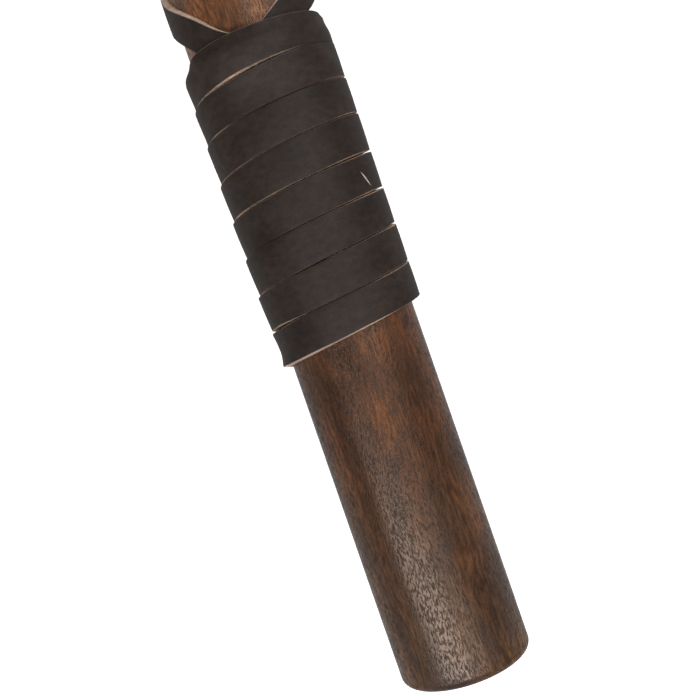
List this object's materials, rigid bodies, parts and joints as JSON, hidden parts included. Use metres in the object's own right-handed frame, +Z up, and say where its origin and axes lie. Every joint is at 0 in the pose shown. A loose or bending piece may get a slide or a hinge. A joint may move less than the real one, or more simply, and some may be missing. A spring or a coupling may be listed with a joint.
{
  "type": "fly swatter",
  "caption": "Leather fly swatter: round wooden handle with a wound leather lace grip, and a punched leather blade riveted into a slot in the handle's end.",
  "frame": {"origin": "under the middle of the swatter's length, on the surface that it lies on", "axes": "+X along the handle from the butt to the tip of the blade, +Y across the blade, +Z up out of the blade's upper face"},
  "size_m": [0.435, 0.1, 0.0326],
  "materials": {
    "wood": "satin",
    "lace": "satin",
    "blade_leather": "satin",
    "copper": "polished"
  },
  "bodies": {
    "handle_assembly": {"handle": "wood", "grip_strap": "lace", "cross_strand_right": "lace", "cross_strand_left": "lace", "top_binding": "lace", "blade_neck": "blade_leather", "rivet_lower": "copper", "burr_lower": "copper", "rivet_upper": "copper", "burr_upper": "copper"},
    "blade_flap": {"blade": "blade_leather"}
  },
  "joints": [
    {"name": "blade_flex", "type": "hinge", "parent": "handle_assembly", "child": "blade_flap", "pos_m": [0.0875, 0, 0.0163], "axis": [0, 1, 0], "range_deg": [-40, 40], "stiffness_Nm_per_rad": 0.8}
  ]
}
